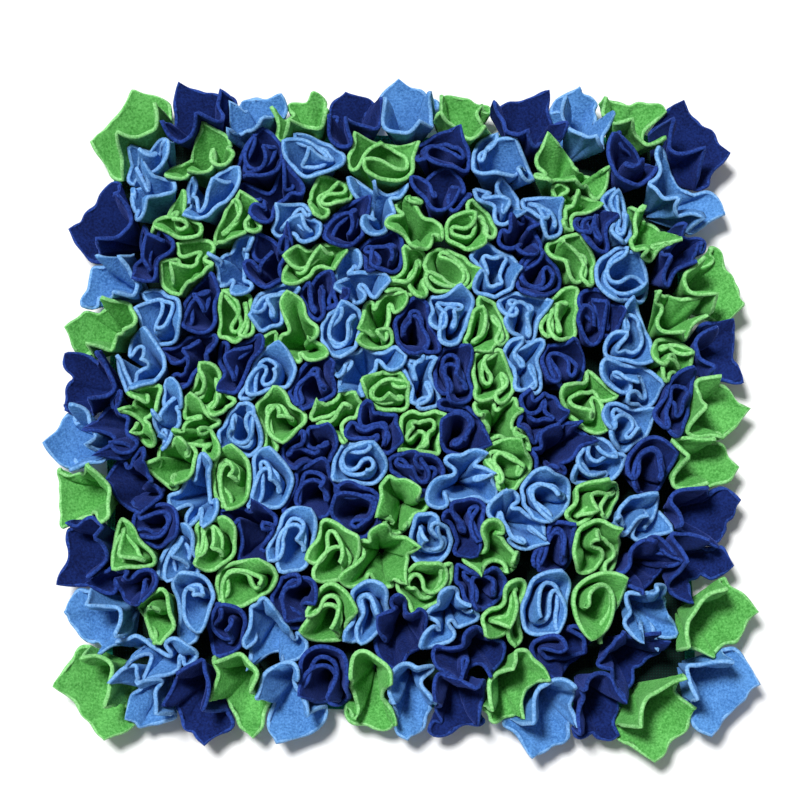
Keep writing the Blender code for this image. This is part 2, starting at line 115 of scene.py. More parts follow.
# ---- folds: the middle line of a doubled ribbon in a unit circle, as x, y and half its width -------
RIBBONS = {
    "scroll": ((0.80, 0.00, 0.14), (0.50, 0.62, 0.17), (-0.22, 0.76, 0.18), (-0.74, 0.25, 0.18),
               (-0.62, -0.47, 0.18), (0.02, -0.72, 0.18), (0.46, -0.36, 0.17), (0.30, 0.14, 0.15),
               (-0.12, 0.20, 0.14), (-0.22, -0.14, 0.12)),
    "clip": ((-0.70, 0.54, 0.13), (-0.10, 0.66, 0.17), (0.52, 0.54, 0.18), (0.77, 0.00, 0.19),
             (0.50, -0.54, 0.18), (-0.10, -0.66, 0.17), (-0.68, -0.42, 0.17), (-0.46, -0.06, 0.14),
             (0.05, 0.02, 0.15), (0.28, 0.04, 0.13)),
    "ess": ((0.68, 0.52, 0.13), (0.10, 0.64, 0.15), (-0.50, 0.54, 0.17), (-0.64, 0.20, 0.15),
            (-0.16, 0.02, 0.15), (0.28, -0.06, 0.15), (0.66, -0.24, 0.15), (0.48, -0.56, 0.17),
            (-0.10, -0.64, 0.15), (-0.68, -0.52, 0.13)),
    "pleat": ((0.46, 0.72, 0.12), (-0.34, 0.70, 0.13), (-0.68, 0.46, 0.13), (-0.28, 0.22, 0.13),
              (0.36, 0.22, 0.13), (0.70, 0.00, 0.13), (0.34, -0.22, 0.13), (-0.30, -0.24, 0.13),
              (-0.68, -0.46, 0.13), (-0.34, -0.70, 0.13), (0.46, -0.72, 0.12)),
    "cup": ((0.62, 0.50, 0.14), (0.10, 0.78, 0.17), (-0.50, 0.60, 0.18), (-0.78, 0.00, 0.18),
            (-0.50, -0.60, 0.18), (0.10, -0.78, 0.17), (0.60, -0.44, 0.15), (0.26, -0.10, 0.13)),
    "hook": ((-0.82, 0.36, 0.14), (-0.20, 0.46, 0.19), (0.42, 0.42, 0.22), (0.74, 0.00, 0.22),
             (0.40, -0.42, 0.20), (-0.16, -0.40, 0.18), (-0.60, -0.30, 0.14)),
}

# ---- open crowns: an outline around the root, as degrees from the crown's direction and radius -----
CROWNS = {
    "leaf": ((0, 1.00), (40, 0.80), (92, 0.56), (145, 0.62), (178, 0.90), (212, 0.60), (268, 0.54),
             (320, 0.80)),
    "clover": ((0, 0.96), (34, 0.74), (62, 0.46), (96, 0.80), (130, 1.00), (174, 0.46), (220, 0.84),
               (248, 0.92), (298, 0.46)),
    "fan": ((38, 1.00), (84, 0.68), (130, 0.86), (180, 0.56), (228, 0.86), (276, 0.68), (320, 1.00),
            (360, 0.78)),
    "spade": ((0, 1.00), (46, 0.74), (86, 0.96), (138, 0.64), (180, 0.80), (222, 0.64), (274, 0.96),
              (314, 0.74)),
}

# ---- the tufts: steps across and down the layout, colour, fold, and the fold's turn in degrees -----
G, S, N = "green", "sky", "navy"
TUFTS = (
    (124, 110, G, "fan", 8), (186, 100, N, "spade", -6), (245, 106, S, "fan", -10),
    (297, 108, G, "fan", 10), (352, 108, N, "spade", 5), (409, 97, S, "spade", 14),
    (463, 108, G, "fan", 0), (538, 108, N, "spade", 0), (594, 106, S, "fan", -8),
    (648, 108, G, "spade", -12), (698, 122, N, "fan", 0), (140, 144, S, "scroll", 0),
    (196, 142, G, "leaf", 270), (256, 143, N, "scroll", 90), (304, 146, S, "clip", 0),
    (378, 146, G, "cup", 200), (446, 138, N, "clip", 90), (505, 150, S, "ess", 60),
    (575, 160, G, "clover", 0), (640, 143, N, "clip", 0), (684, 168, S, "leaf", 300),
    (104, 205, N, "fan", 0), (137, 182, S, "leaf", 120), (166, 214, G, "clip", 90),
    (201, 182, S, "cup", 90), (240, 212, G, "ess", 90), (272, 192, N, "leaf", 90),
    (297, 213, S, "cup", 0), (326, 196, G, "hook", 90), (350, 214, N, "clip", 90),
    (376, 204, S, "leaf", 90), (412, 212, G, "leaf", 270), (442, 192, N, "pleat", 90),
    (476, 216, G, "ess", 90), (503, 202, S, "hook", 270), (524, 224, N, "leaf", 90),
    (549, 213, S, "clip", 90), (573, 203, G, "hook", 0), (598, 218, N, "clip", 90),
    (623, 215, S, "scroll", 90), (652, 222, G, "leaf", 300), (690, 248, N, "spade", -8),
    (112, 268, S, "fan", 4), (150, 243, N, "cup", 90), (184, 264, G, "hook", 300),
    (238, 258, S, "leaf", 240), (269, 258, N, "leaf", 60), (307, 262, G, "hook", 0),
    (361, 282, S, "clover", 0), (384, 255, N, "clip", 90), (404, 276, G, "cup", 270),
    (450, 272, G, "scroll", 180), (496, 264, S, "cup", 180), (538, 271, N, "scroll", 90),
    (577, 250, G, "cup", 270), (630, 271, S, "scroll", 60), (712, 272, G, "fan", 0),
    (102, 325, G, "spade", 6), (163, 310, S, "clip", 0), (200, 305, N, "clip", 90),
    (231, 312, G, "ess", 90), (272, 306, S, "clip", 60), (297, 326, G, "clover", 90),
    (327, 298, N, "pleat", 90), (346, 322, S, "scroll", 90), (381, 316, G, "leaf", 250),
    (411, 322, N, "scroll", 270), (448, 312, S, "clip", 90), (483, 325, G, "ess", 90),
    (523, 314, S, "clip", 60), (560, 318, G, "clip", 90), (597, 318, N, "pleat", 90),
    (636, 336, S, "cup", 150), (686, 318, G, "fan", 0), (712, 345, N, "fan", -4),
    (90, 380, N, "fan", 0), (135, 366, S, "cup", 120), (190, 362, N, "hook", 0),
    (209, 392, G, "ess", 90), (238, 364, N, "cup", 90), (262, 376, S, "clip", 90),
    (320, 392, N, "clip", 90), (363, 370, S, "clover", 30), (388, 392, G, "scroll", 0),
    (418, 384, S, "ess", 60), (454, 380, N, "clip", 90), (494, 376, G, "ess", 60),
    (523, 370, S, "ess", 60), (555, 372, N, "clip", 90), (586, 404, G, "cup", 0),
    (638, 386, S, "cup", 200), (674, 360, G, "ess", 0), (681, 398, N, "clip", 90),
    (709, 406, G, "spade", 0), (83, 440, S, "spade", -10), (114, 424, N, "leaf", 250),
    (145, 412, G, "leaf", 250), (170, 420, S, "leaf", 240), (197, 424, G, "clover", 90),
    (240, 425, S, "clip", 250), (281, 420, G, "clip", 120), (338, 414, G, "hook", 30),
    (375, 427, N, "hook", 320), (310, 448, N, "cup", 90), (424, 436, G, "cup", 250),
    (418, 468, N, "clip", 300), (458, 431, N, "clip", 0), (503, 424, G, "leaf", 340),
    (537, 415, N, "hook", 340), (624, 426, S, "clip", 45), (650, 466, N, "clip", 70),
    (700, 462, G, "spade", 0), (85, 492, G, "fan", -6), (134, 482, N, "leaf", 0),
    (174, 464, G, "leaf", 260), (197, 490, S, "leaf", 250), (233, 480, G, "clip", 110),
    (266, 482, S, "clip", 100), (314, 487, N, "clip", 90), (361, 463, S, "scroll", 45),
    (362, 513, N, "clip", 0), (402, 505, G, "leaf", 240), (464, 482, S, "leaf", 20),
    (503, 468, G, "clip", 90), (560, 450, N, "leaf", 60), (592, 464, S, "ess", 0),
    (545, 500, S, "clip", 130), (592, 500, G, "cup", 270), (434, 532, S, "clip", 270),
    (463, 527, N, "ess", 90), (491, 548, G, "leaf", 290), (518, 528, S, "leaf", 300),
    (632, 528, S, "pleat", 80), (702, 515, N, "fan", -4), (92, 552, N, "spade", 8),
    (130, 552, G, "clip", 110), (154, 527, N, "scroll", 200), (181, 550, S, "clip", 90),
    (212, 545, G, "clip", 80), (255, 540, N, "leaf", 80), (290, 545, S, "clip", 90),
    (336, 553, G, "clip", 60), (378, 560, G, "leaf", 30), (549, 545, N, "clip", 70),
    (600, 545, G, "cup", 250), (690, 563, N, "spade", 24), (245, 582, G, "clip", 80),
    (426, 586, G, "clip", 270), (478, 590, N, "clip", 90), (104, 622, S, "fan", 0),
    (123, 584, N, "leaf", 0), (156, 620, G, "clip", 150), (195, 610, S, "clip", 120),
    (228, 624, N, "scroll", 90), (268, 628, S, "leaf", 250), (300, 604, N, "cup", 60),
    (326, 614, G, "clip", 50), (368, 614, S, "clip", 90), (399, 628, N, "leaf", 90),
    (452, 614, S, "leaf", 60), (501, 614, G, "cup", 270), (543, 612, S, "scroll", 270),
    (596, 612, G, "scroll", 250), (650, 612, S, "leaf", 280), (715, 628, G, "fan", 6),
    (566, 644, N, "cup", 90), (100, 692, G, "fan", 0), (140, 692, S, "spade", 10),
    (192, 698, N, "fan", 0), (240, 690, G, "fan", 6), (290, 697, S, "spade", 0),
    (327, 684, N, "clip", 60), (373, 692, G, "fan", 0), (412, 694, S, "spade", -8),
    (458, 696, N, "fan", 6), (510, 688, G, "spade", 0), (553, 712, S, "fan", 0),
    (598, 704, N, "spade", 6), (664, 714, G, "fan", 0), (715, 690, S, "fan", 0),
    (650, 567, N, "leaf", 60), (632, 661, N, "leaf", 80), (470, 650, N, "leaf", 270),
    (157, 657, S, "leaf", 200),
)


# ---- outlines of the folds, in a unit circle -------------------------------------------------------
def smooth_path(knots, count, closed=False):
    """Points spread evenly along a Catmull-Rom curve through the knots, of any number of columns."""
    steps = 12
    last = len(knots)
    fine = []
    for k in range(last if closed else last - 1):
        if closed:
            a, b, c, d = (knots[(k + j) % last] for j in (-1, 0, 1, 2))
        else:
            a, b, c, d = (knots[min(max(k + j, 0), last - 1)] for j in (-1, 0, 1, 2))
        for step in range(steps):
            t = step / steps
            weights = (-t + 2 * t * t - t ** 3, 2 - 5 * t * t + 3 * t ** 3, t + 4 * t * t - 3 * t ** 3,
                       t ** 3 - t * t)
            fine.append(tuple(0.5 * sum(weight * value for weight, value in zip(weights, column))
                              for column in zip(a, b, c, d)))
    fine.append(tuple(knots[0] if closed else knots[-1]))
    run = [0.0]
    for p, q in zip(fine, fine[1:]):
        run.append(run[-1] + math.dist(p[:2], q[:2]))
    wanted = [run[-1] * k / (count if closed else count - 1) for k in range(count)]
    path = []
    at = 0
    for length in wanted:
        while at < len(run) - 2 and run[at + 1] < length:
            at += 1
        share = min(1.0, (length - run[at]) / (run[at + 1] - run[at]))
        path.append(tuple(p + share * (q - p) for p, q in zip(fine[at], fine[at + 1])))
    return path


# ---- where the tufts stand -------------------------------------------------------------------------
def at_rim(fold):
    return fold in ("fan", "spade")


def kind_of(fold):
    return "rim" if at_rim(fold) else ("crown" if fold in CROWNS else "ribbon")


def crown_middle(tuft):
    return ((tuft[0] - MIDDLE[0]) * GRID, (MIDDLE[1] - tuft[1]) * GRID)


def root_of(middle):
    return (middle[0] * ROOT_PULL, middle[1] * ROOT_PULL)


def room_at(place, middles, widest, direction):
    """How far a tuft may spread from its middle in one direction: half way to each neighbour, or less."""
    reach = widest
    here = middles[place]
    for other, there in enumerate(middles):
        away = math.dist(here, there)
        if other == place or away > 2 * widest + CELL_CLEARANCE:
            continue
        facing = math.cos(direction - math.atan2(there[1] - here[1], there[0] - here[0]))
        if facing > 0:
            reach = min(reach, (away - CELL_CLEARANCE) / 2 / facing)
    return reach


# ---- which roots share a strip ---------------------------------------------------------------------
def from_line(spot, start, end):
    """How far a spot lies from the straight stretch between two others."""
    along = (end[0] - start[0], end[1] - start[1])
    share = (spot[0] - start[0]) * along[0] + (spot[1] - start[1]) * along[1]
    share = min(1.0, max(0.0, share / (along[0] ** 2 + along[1] ** 2)))
    return math.dist(spot, (start[0] + share * along[0], start[1] + share * along[1]))


def side_of(spot, start, end):
    return (end[0] - start[0]) * (spot[1] - start[1]) - (end[1] - start[1]) * (spot[0] - start[0])


def strips_meet(roots, one, other):
    """Whether two strips that share no root cross or nearly touch."""
    if set(one) & set(other):
        return False
    a, b, c, d = (roots[k] for k in one + other)
    if side_of(a, c, d) * side_of(b, c, d) < 0 and side_of(c, a, b) * side_of(d, a, b) < 0:
        return True
    nearest = min(from_line(a, c, d), from_line(b, c, d), from_line(c, a, b), from_line(d, a, b))
    return nearest < 2 * STRIP_WIDTH


def group_roots(colour, roots):
    """Joins the roots of one colour, the nearest first, until few enough backings are left."""
    own = [k for k, tuft in enumerate(TUFTS) if tuft[2] == colour]
    backing = {k: [k] for k in own}
    pairs = sorted((math.dist(roots[i], roots[j]), i, j) for i in own for j in own if i < j)
    strips = []
    for length, i, j in pairs:
        if length > STRIP_REACH or len(set(map(id, backing.values()))) <= BACKINGS_PER_COLOUR:
            break
        if backing[i] is backing[j] or len(backing[i]) + len(backing[j]) > TUFTS_PER_BACKING:
            continue
        passed = (k for k in range(len(roots)) if k not in (i, j))
        if any(from_line(roots[k], roots[i], roots[j]) < STRIP_CLEARANCE for k in passed):
            continue
        if any(strips_meet(roots, (i, j), strip) for strip in strips):
            continue
        strips.append((i, j))
        joined = backing[i] + backing[j]
        for k in joined:
            backing[k] = joined
    return sorted({tuple(sorted(group)) for group in backing.values()})


# ---- settling the upper edges ----------------------------------------------------------------------
def even_loop(points, count):
    """A closed line again, with evenly spaced points."""
    closed = np.vstack([points, points[:1]])
    run = np.concatenate([[0.0], np.cumsum(np.linalg.norm(np.diff(closed, axis=0), axis=1))])
    wanted = np.arange(count) * run[-1] / count
    return np.stack([np.interp(wanted, run, closed[:, k]) for k in (0, 1)], axis=1), run[-1]


def fine_outline(fold):
    """The closed outline of a fold in a unit circle, with many points, and where its four corners lie."""
    if fold in CROWNS:
        knots = [(radius * math.cos(math.radians(turn)), radius * math.sin(math.radians(turn)))
                 for turn, radius in CROWNS[fold]]
        if at_rim(fold):
            line, _ = even_loop(np.array(knots), OUTLINE_POINTS)
        else:
            line = np.array(smooth_path(knots, OUTLINE_POINTS, closed=True))
        radius = np.linalg.norm(line, axis=1)
        deep = radius.mean() + (radius - radius.mean()) * (RIM_DEPTH if at_rim(fold) else CROWN_DEPTH)
        line, _ = even_loop(line * (deep / radius)[:, None], OUTLINE_POINTS)
        lobes = sorted(knots, key=lambda knot: math.hypot(*knot))[-4:]
        way = np.arctan2(line[:, 1], line[:, 0])
        tips = [np.argmax(np.cos(way - math.atan2(knot[1], knot[0]))) / OUTLINE_POINTS for knot in lobes]
    else:
        path = np.array(smooth_path(RIBBONS[fold], 60))
        along = np.gradient(path[:, :2], axis=0)
        along /= np.linalg.norm(along, axis=1)[:, None]
        side = np.stack([-along[:, 1], along[:, 0]], axis=1)
        half = path[:, 2:3]
        ends = []
        for end, way in ((-1, 1), (0, -1)):
            for bend in (45, 90, 135):
                turn = math.radians(bend)
                ends.append(path[end, :2] + half[end] * (side[end] * math.cos(turn) * way
                                                         + along[end] * math.sin(turn) * way))
        line = np.vstack([path[:, :2] + half * side, ends[:3], (path[:, :2] - half * side)[::-1], ends[3:]])
        line, _ = even_loop(line, OUTLINE_POINTS)
        tips = [0.0, 0.25, 0.5, 0.75]
    radius = np.linalg.norm(line, axis=1)
    swollen = np.sin(np.pi / 2 * radius / radius.max())
    line = line * (swollen / np.maximum(radius, 1e-6))[:, None]
    area = np.sum(line[:, 0] * np.roll(line[:, 1], -1) - line[:, 1] * np.roll(line[:, 0], -1))
    if area < 0:
        line = line[::-1]
        tips = [(1 - tip) % 1.0 for tip in tips]
    return line, sorted(tips)


def room_table(number, middles, widest):
    """The room of a tuft in evenly spaced directions."""
    return np.array([room_at(number, middles, widest, 2 * math.pi * k / DIRECTIONS) for k in range(DIRECTIONS)])


def reach_in(rooms, directions):
    """The room of each tuft (a row of rooms) in the directions of its points."""
    at = (directions / (2 * np.pi) * DIRECTIONS) % DIRECTIONS
    low = np.floor(at).astype(int) % DIRECTIONS
    share = at - np.floor(at)
    rows = np.arange(len(rooms))[:, None]
    return rooms[rows, low] * (1 - share) + rooms[rows, (low + 1) % DIRECTIONS] * share


def near_pairs(points, tuft_of, within):
    """Index pairs of points that lie near each other, without near neighbours along one edge."""
    low = points.min(axis=0) - within
    cell = np.floor((points - low) / within).astype(int)
    wide = cell[:, 0].max() + 3
    key = cell[:, 1] * wide + cell[:, 0]
    order = np.argsort(key, kind="stable")
    sorted_key = key[order]
    first = np.concatenate([[0], np.nonzero(np.diff(sorted_key))[0] + 1])
    counts = np.diff(np.concatenate([first, [len(key)]]))
    most = counts.max()
    table = np.full((cell[:, 1].max() * wide + 3 * wide, most), -1)
    place_in = np.arange(len(key)) - np.repeat(first, counts)
    table[sorted_key, place_in] = order
    used = sorted_key[first]
    ones, others = [], []
    for step in (0, 1, wide - 1, wide, wide + 1):
        a = table[used]
        b = table[used + step]
        i = np.repeat(a, most, axis=1).ravel()
        j = np.tile(b, (1, most)).ravel()
        good = (i >= 0) & (j >= 0)
        if step == 0:
            good &= i < j
        i, j = i[good], j[good]
        close = np.sum((points[i] - points[j]) ** 2, axis=1) < within ** 2
        ones.append(i[close])
        others.append(j[close])
    i, j = np.concatenate(ones), np.concatenate(others)
    along = np.abs(i % AROUND - j % AROUND)
    along = np.minimum(along, AROUND - along)
    keep = (tuft_of[i] != tuft_of[j]) | (along > 2)
    return i[keep], j[keep]


def edge_lengths(edges):
    return np.linalg.norm(np.roll(edges, -1, axis=1) - edges, axis=2).sum(axis=1)


def straighten(edges):
    """Takes part of each bend out of the edges, more of it where they are sharp."""
    for reach, least, most in STIFFNESS:
        lack = 0.5 * (np.roll(edges, reach, axis=1) + np.roll(edges, -reach, axis=1)) - edges
        lack_around = 0.5 * (np.roll(lack, reach, axis=1) + np.roll(lack, -reach, axis=1))
        sharp = np.clip(np.linalg.norm(lack, axis=2, keepdims=True) / (0.0009 * reach) - 0.5, 0.0, 1.0)
        edges += (least + (most - least) * sharp) * (lack - lack_around)


def pull_to_length(edges, rest):
    """Moves neighbouring points of each edge towards their distance at rest."""
    for _ in range(14):
        ahead = np.roll(edges, -1, axis=1) - edges
        far = np.linalg.norm(ahead, axis=2, keepdims=True)
        move = ahead * (0.5 * (far - rest) / np.maximum(far, 1e-6)) * 0.5
        edges += move - np.roll(move, 1, axis=1)


def push_layers(edges, i, j):
    """Pushes layers of cloth off each other, as seen from above."""
    total = edges.shape[0] * AROUND
    for _ in range(2):
        flat = edges.reshape(-1, 2)
        gap = flat[i] - flat[j]
        far = np.sqrt(np.sum(gap ** 2, axis=1)) + 1e-9
        push = np.maximum(APART - far, 0.0) / far * 0.42
        near = push > 0
        moved = gap[near] * push[near, None]
        shift = np.stack([np.bincount(i[near], moved[:, k], total) - np.bincount(j[near], moved[:, k], total)
                          for k in (0, 1)], axis=1)
        size = np.linalg.norm(shift, axis=1, keepdims=True)
        shift *= np.minimum(1.0, 0.0007 / np.maximum(size, 1e-9))
        edges += shift.reshape(edges.shape)


def fill_room(edges, middles, rooms, swell):
    """Draws the edges back into their rooms, and lets them spread where there is room left."""
    away = edges - middles[:, None, :]
    far = np.linalg.norm(away, axis=2)
    limit = reach_in(rooms, np.arctan2(away[..., 1], away[..., 0])) + ROOM_MARGIN
    over = np.maximum(far - limit, 0.0)
    edges -= away / np.maximum(far, 1e-6)[..., None] * (0.3 * over)[..., None]
    slack = np.clip((limit - ROOM_MARGIN - far) / 0.004, 0.0, 1.0)
    edges += away / np.maximum(far, 1e-6)[..., None] * (swell * slack)[..., None]


def settle(edges, middles, rooms, lengths):
    """Lengthens the closed edges, which push each other apart, bend stiffly and stay in their rooms."""
    start = edges.copy()
    start_length = edge_lengths(edges)
    tuft_of = np.repeat(np.arange(len(edges)), AROUND)
    rest_length = start_length.copy()
    is_crown = np.array([tuft[3] in CROWNS for tuft in TUFTS])[:, None]
    swell = np.where(is_crown, CROWN_SWELL, RIBBON_SWELL)
    for step in range(ROUNDS):
        grown = min(1.0, step / GROWTH_ROUNDS)
        wanted = start_length + (np.maximum(lengths, start_length * 0.9) - start_length) * grown
        rest_length = np.clip(rest_length + 0.06 * (wanted - edge_lengths(edges)), wanted * 0.95, wanted * 2.0)
        if step % 4 == 0:
            i, j = near_pairs(edges.reshape(-1, 2), tuft_of, APART + 0.0018)
        straighten(edges)
        pull_to_length(edges, (rest_length / AROUND)[:, None, None])
        push_layers(edges, i, j)
        fill_room(edges, middles, rooms, swell)
        edges += 0.0015 * (start - edges)
    evening = np.where(is_crown, CROWN_EVENING, RIBBON_EVENING)[..., None]
    for _ in range(EVENING_ROUNDS):
        edges += evening * (0.5 * (np.roll(edges, 1, axis=1) + np.roll(edges, -1, axis=1)) - edges)
    return edges


# ---- the cloth of one tuft -------------------------------------------------------------------------
def slant_along(tips, stand):
    """Distance from the pinch to the square's edge at each point, and how near each point is to a corner."""
    at = np.arange(AROUND) / AROUND
    slant = np.zeros(AROUND)
    corner = np.zeros(AROUND)
    for k in range(4):
        start, end = tips[k], tips[(k + 1) % 4] + (1 if k == 3 else 0)
        share = (at - start) % 1.0 / (end - start)
        inside = share < 1.0
        angle = (share[inside] - 0.5) * np.pi / 2
        slant[inside] = SQUARE_SIDE / 2 / np.cos(angle)
        corner[inside] = np.abs(2 * share[inside] - 1) ** stand.point
    mean = SQUARE_SIDE * MEAN_SLANT
    return mean + (slant - mean) * stand.corners, corner


def tuft_cloth(edge, middle, tips, fold, number):
    """The middle surface of a tuft as level, place around and x, y, z, and how far its corners will fall."""
    stand = STANDS[kind_of(fold)]
    rng = np.random.default_rng(1000 + number)
    slant, corner = slant_along(tips, stand)
    root = middle * ROOT_PULL
    reach = (edge - root) * (1 + stand.splay * (slant / (SQUARE_SIDE * MEAN_SLANT) - 1))[:, None]
    height = np.sqrt(np.maximum(slant ** 2 - np.sum(reach ** 2, axis=1), (LEAST_RISE * slant) ** 2))
    wave = sum(rng.uniform(0.2, 0.5) * np.sin(2 * np.pi * (f * np.arange(AROUND) / AROUND + rng.uniform()))
               for f in (3, 5, 8, 13))
    height = height + UNEVEN * wave
    pull = ROOT_PULL + (1 - ROOT_PULL) * height / PULL_HEIGHT
    top = np.concatenate([(root + reach) * pull[:, None], height[:, None]], axis=1)
    foot = np.array([root[0], root[1], 0.0])
    # the edge's outward normal as seen from above, and how far the cloth falls outwards near its edge
    along = np.roll(edge, -1, axis=0) - np.roll(edge, 1, axis=0)
    along /= np.linalg.norm(along, axis=1)[:, None]
    outward = np.stack([along[:, 1], -along[:, 0]], axis=1)
    falling = sum(np.roll(outward, step, axis=0) for step in range(-4, 5)) / 9
    lean = sum(rng.uniform(0.3, 1.0) * np.sin(2 * np.pi * (f * np.arange(AROUND) / AROUND + rng.uniform()))
               for f in (2, 3, 5))
    flop = DROOP + DROOP_VARIES * lean + corner * stand.corner_fall
    rows, falls = [], []
    for level in LEVELS:
        out = 1 - (1 - level) ** stand.spread
        row = foot + (top - foot) * np.array([out, out, level])
        ripple = sum(np.sin(2 * np.pi * (f * np.arange(AROUND) / AROUND + phase) + level * g)
                     for f, phase, g in ((7, rng.uniform(), 6.0), (11, rng.uniform(), -9.0)))
        row[:, :2] += outward * (RIPPLE * ripple * min(1.0, level * 1.5))[:, None]
        bend = max(0.0, (level - FALL_START) / (1 - FALL_START)) ** 2
        fall = np.concatenate([falling * flop[:, None], (-0.25 * flop * (corner + 0.2))[:, None]], axis=1) * bend
        rows.append(row)
        falls.append(fall)
    return np.array(rows), np.array(falls)


def near_in_space(points, tuft_of, within):
    """Index pairs of points of different tufts that lie near each other in space."""
    cell = np.floor((points - points.min(axis=0)) / within).astype(np.int64) + 1
    wide, deep = cell[:, 0].max() + 2, cell[:, 1].max() + 2
    key = (cell[:, 2] * deep + cell[:, 1]) * wide + cell[:, 0]
    order = np.argsort(key, kind="stable")
    ordered = key[order]
    ones, others = [], []
    steps = [(0, 0, 1), (0, 1, -1), (0, 1, 0), (0, 1, 1)]
    steps += [(1, down, across) for down in (-1, 0, 1) for across in (-1, 0, 1)]
    for up, down, across in [(0, 0, 0), *steps]:
        wanted = ordered + (up * deep + down) * wide + across
        first = np.searchsorted(ordered, wanted, "left")
        if not (up or down or across):
            first = np.arange(1, len(key) + 1)
        count = np.maximum(np.searchsorted(ordered, wanted, "right") - first, 0)
        i = np.repeat(np.arange(len(key)), count)
        j = np.arange(len(i)) - np.repeat(np.cumsum(count) - count, count) + np.repeat(first, count)
        i, j = order[i], order[j]
        keep = tuft_of[i] != tuft_of[j]
        i, j = i[keep], j[keep]
        close = np.sum((points[i] - points[j]) ** 2, axis=1) < within ** 2
        ones.append(i[close])
        others.append(j[close])
    return np.concatenate(ones), np.concatenate(others)


def let_open(cloths, falls):
    """Opens the gathered tufts and lets their corners fall, and pushes the cloth of different tufts apart."""
    tufts, levels = cloths.shape[:2]
    middle = cloths.mean(axis=2, keepdims=True)
    middle[..., 2] = 0.0
    spread = cloths - middle
    upper = levels - UPPER_ROWS
    offset = np.zeros_like(cloths)
    tuft_of = np.repeat(np.arange(tufts), UPPER_ROWS * AROUND)
    total = len(tuft_of)
    for step in range(OPEN_STEPS):
        share = (step + 1) / OPEN_STEPS
        width = GATHERED + (1 - GATHERED) * share
        placed = middle + spread * np.array([width, width, 1.0]) + falls * share
        for turn in range(PUSHES):
            flat = (placed + offset)[:, upper:].reshape(-1, 3)
            if turn == 0:
                i, j = near_in_space(flat, tuft_of, SPACE_APART + 0.0010)
            gap = flat[i] - flat[j]
            far = np.sqrt(np.sum(gap ** 2, axis=1)) + 1e-9
            moved = gap * (0.42 * np.maximum(SPACE_APART - far, 0.0) / far)[:, None]
            shift = np.stack([np.bincount(i, moved[:, k], total) - np.bincount(j, moved[:, k], total)
                              for k in range(3)], axis=1)
            size = np.linalg.norm(shift, axis=1, keepdims=True)
            shift = shift * np.minimum(1.0, 0.0010 / np.maximum(size, 1e-9))
            offset[:, upper:] += shift.reshape(tufts, UPPER_ROWS, AROUND, 3)
            around = 0.5 * (np.roll(offset, 1, axis=2) + np.roll(offset, -1, axis=2))
            offset += 0.35 * (around - offset)
            offset[:, 1:-1] += 0.25 * (0.5 * (offset[:, :-2] + offset[:, 2:]) - offset[:, 1:-1])
    return placed + offset


def tuft_mesh(name, sheet, materials):
    """The closed skin of a tuft's cloth: up its outer face, over the cut edge and down its inner face."""
    across = np.roll(sheet, -1, axis=1) - np.roll(sheet, 1, axis=1)
    upward = np.gradient(sheet, axis=0)
    normal = np.cross(across, upward)
    normal /= np.maximum(np.linalg.norm(normal, axis=2, keepdims=True), 1e-12)
    thick = FLEECE_THICK / 2 * np.minimum(1.0, THINNEST + np.array(LEVELS) * THICKENING)[:, None, None]
    outer = sheet + normal * thick
    inner = sheet - normal * thick
    lip_way = sheet[-1] - sheet[-2]
    lip_way /= np.linalg.norm(lip_way, axis=1)[:, None]
    lip = sheet[-1] + lip_way * LIP
    rings = np.concatenate([outer, lip[None], inner[::-1]])
    rings[..., 2] += BASE_THICK + GAP
    count = len(rings)
    points = rings.reshape(-1, 3)
    ring, step = np.meshgrid(np.arange(count), np.arange(AROUND), indexing="ij")
    after_ring, after = (ring + 1) % count, (step + 1) % AROUND
    faces = np.stack([ring * AROUND + step, ring * AROUND + after, after_ring * AROUND + after,
                      after_ring * AROUND + step], axis=-1).reshape(-1, 4)
    mesh = bpy.data.meshes.new(name)
    mesh.vertices.add(len(points))
    mesh.vertices.foreach_set("co", points.astype(np.float32).ravel())
    mesh.loops.add(faces.size)
    mesh.loops.foreach_set("vertex_index", faces.astype(np.int32).ravel())
    mesh.polygons.add(len(faces))
    mesh.polygons.foreach_set("loop_start", np.arange(0, faces.size, 4, dtype=np.int32))
    levels = len(LEVELS)
    # the faces over the lip take the paler cut-edge fleece: a painted highlight along the top of the cloth
    painted_highlight_lip = (ring == levels - 1) | (ring == levels)
    mesh.materials.append(materials[0])
    mesh.materials.append(materials[1])
    mesh.polygons.foreach_set("material_index", painted_highlight_lip.astype(np.int32).ravel())
    mesh.polygons.foreach_set("use_smooth", np.ones(len(faces), dtype=bool))
    mesh.update()
    mesh.validate()
    thing = bpy.data.objects.new(name, mesh)
    bpy.context.scene.collection.objects.link(thing)
    return thing


